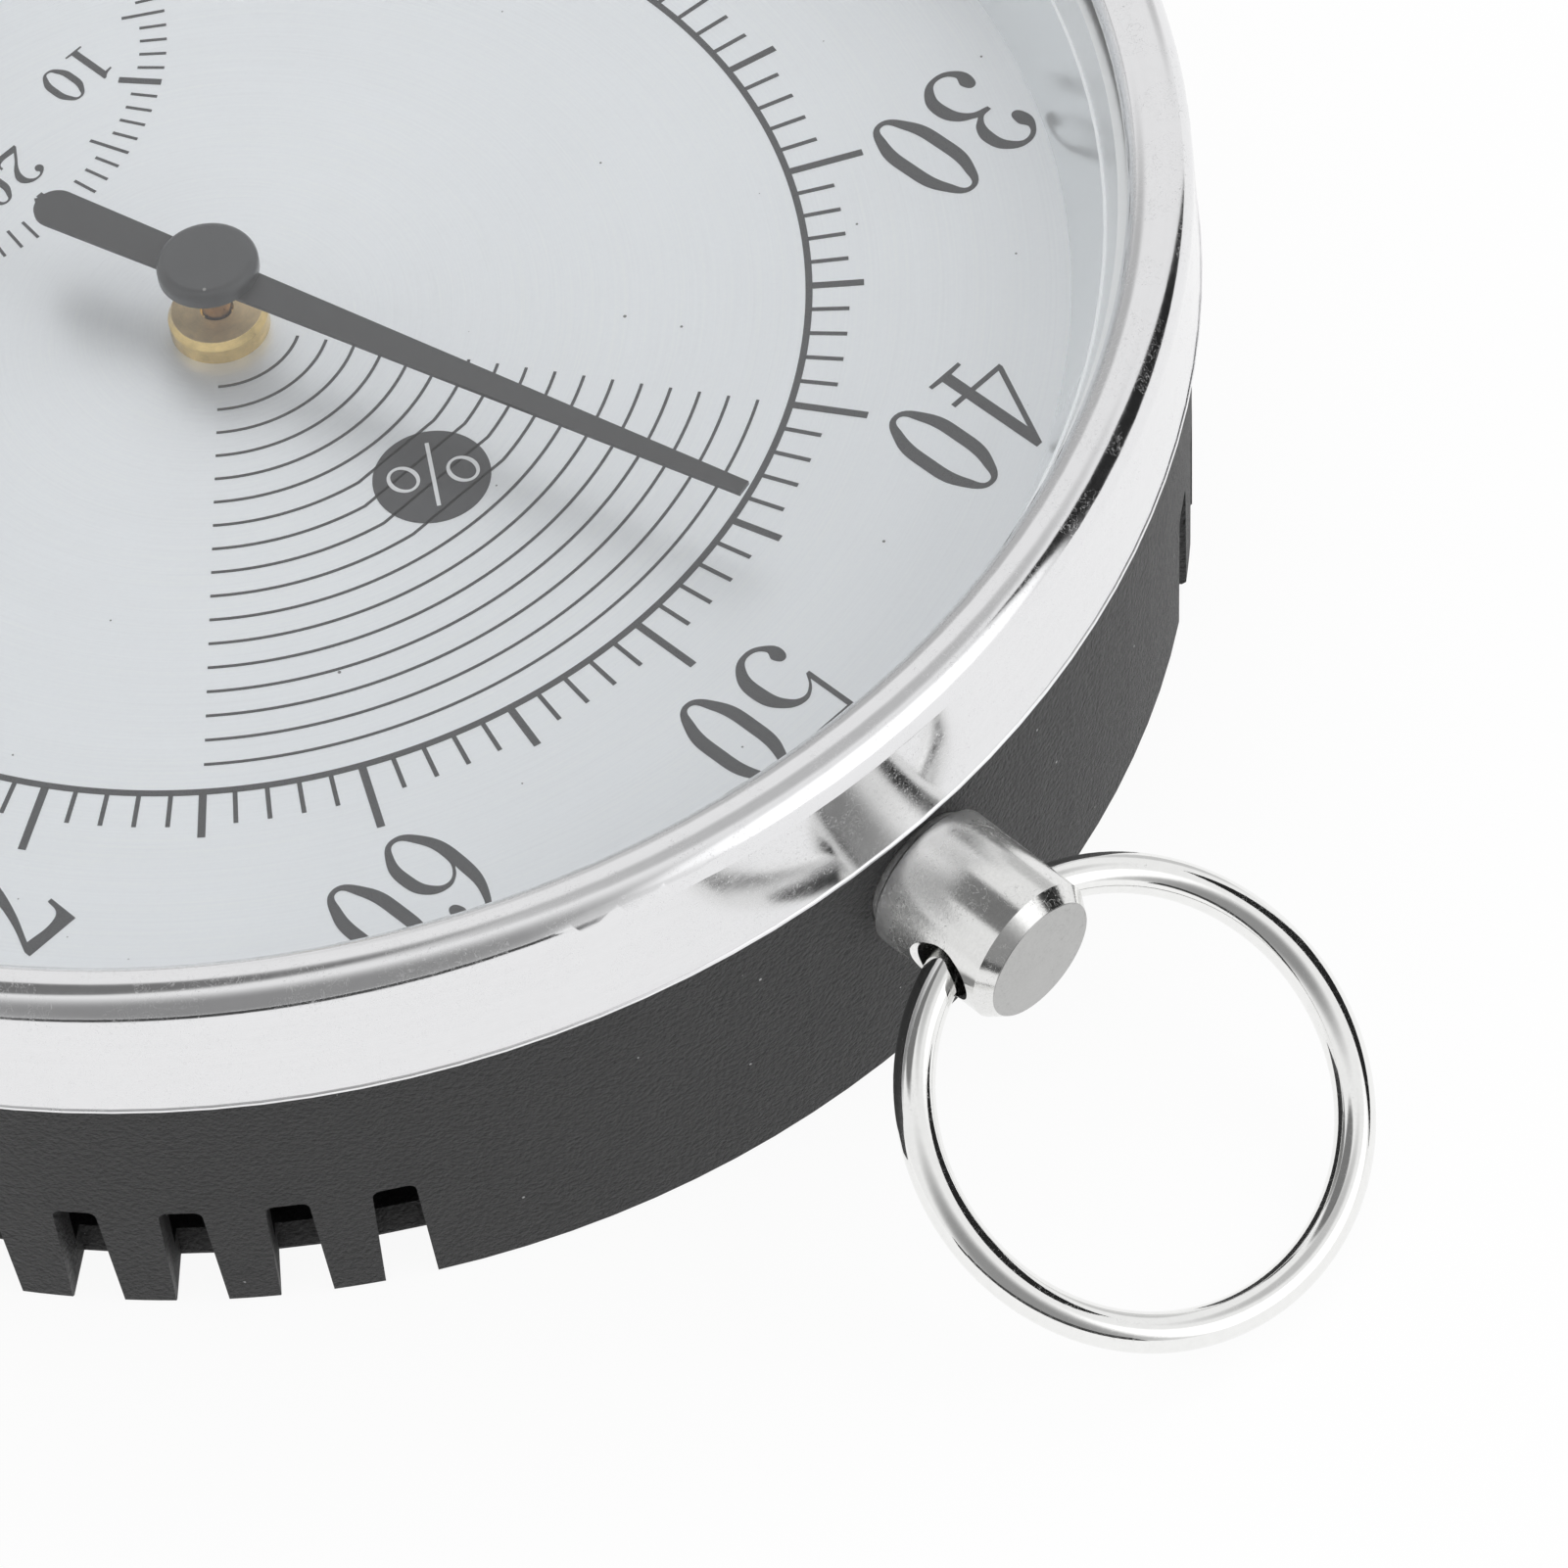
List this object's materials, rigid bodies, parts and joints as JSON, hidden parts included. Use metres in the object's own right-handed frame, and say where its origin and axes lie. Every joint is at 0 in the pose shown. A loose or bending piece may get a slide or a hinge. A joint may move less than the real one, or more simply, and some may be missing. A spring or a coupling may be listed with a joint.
{
  "type": "thermo-hygrometer",
  "caption": "Round dial humidity and temperature gauge in a vented drafted case with a rolled metal bezel, flat glass, a long pointer on a brass bush and a hanging ring.",
  "frame": {"origin": "on the case axis, at the flat back face that lies on the table or against the wall", "axes": "+Z out of the dial towards the reader, +Y towards the hanging stud (12 o'clock), +X to the right of the dial as it is read"},
  "size_m": [0.1322, 0.1637, 0.0346],
  "materials": {
    "case_plastic": "black moulded plastic with a fine spark-eroded grain",
    "bezel_metal": "spun aluminium, satin band and polished roll",
    "glass": "clear flat glass",
    "seal": "pale smooth seal",
    "spacer_grey": "light grey satin paint",
    "dial_metal": "fine brushed, clear lacquered, printed scales",
    "brass": "turned brass",
    "boss_brass": "tarnished brass",
    "steel": "bright turned steel",
    "pointer_black": "thin strip, matt black lacquer",
    "cap_black": "black satin moulding",
    "moisture_strip": "thin metal strip with a cream moisture-sensitive coat",
    "bimetal_strip": "rolled bimetal strip",
    "stud_nickel": "satin nickel plate with fine speckle",
    "ring_nickel": "bright nickel plate on drawn wire"
  },
  "bodies": {
    "housing": {"case": "case_plastic", "bezel": "bezel_metal", "glass": "glass", "glass_gasket": "seal", "spacer_ring": "spacer_grey", "dial_plate": "dial_metal", "hanging_stud": "stud_nickel", "stud_washer": "steel", "stud_screw": "steel", "humidity_bush": "brass", "humidity_bush_nut": "brass", "humidity_front_bar": "brass", "humidity_pillars": "brass", "humidity_rear_bar": "brass", "humidity_pillar_screws": "steel", "humidity_rear_bush": "brass", "temperature_bush": "brass", "temperature_bush_nut": "brass", "temperature_front_bar": "brass", "temperature_pillars": "brass", "temperature_rear_bar": "brass", "temperature_pillar_screws": "steel", "temperature_rear_bush": "brass"},
    "hanging_ring": {"hanging_ring": "ring_nickel"},
    "humidity_trim": {"humidity_adjuster": "brass", "humidity_coil": "moisture_strip"},
    "humidity_hand": {"humidity_arbor": "steel", "humidity_collet": "brass", "humidity_pointer": "pointer_black", "humidity_pointer_boss": "boss_brass", "humidity_pointer_cap": "cap_black"},
    "temperature_trim": {"temperature_adjuster": "brass", "temperature_coil": "bimetal_strip"},
    "temperature_hand": {"temperature_arbor": "steel", "temperature_collet": "brass", "temperature_pointer": "pointer_black", "temperature_pointer_boss": "boss_brass", "temperature_pointer_cap": "cap_black"}
  },
  "joints": [
    {"name": "humidity_trim", "type": "hinge", "parent": "housing", "child": "humidity_trim", "pos_m": [0, 0, 0.006], "axis": [0, 0, -1], "range_deg": [-15, 15]},
    {"name": "humidity_reading", "type": "hinge", "parent": "humidity_trim", "child": "humidity_hand", "pos_m": [0, 0, 0.0216], "axis": [0, 0, -1], "range_deg": [-136.5, 163.5], "stiffness_Nm_per_rad": 0.001},
    {"name": "temperature_trim", "type": "hinge", "parent": "housing", "child": "temperature_trim", "pos_m": [0, -0.03645, 0.006], "axis": [0, 0, -1], "range_deg": [-15, 15]},
    {"name": "temperature_reading", "type": "hinge", "parent": "temperature_trim", "child": "temperature_hand", "pos_m": [0, -0.03645, 0.0216], "axis": [0, 0, -1], "range_deg": [-165.6, 122.4], "stiffness_Nm_per_rad": 0.001},
    {"name": "ring_swing", "type": "hinge", "parent": "housing", "child": "hanging_ring", "pos_m": [0, 0.0714, 0.01741], "axis": [1, 0, 0], "range_deg": [-80, 141]}
  ]
}
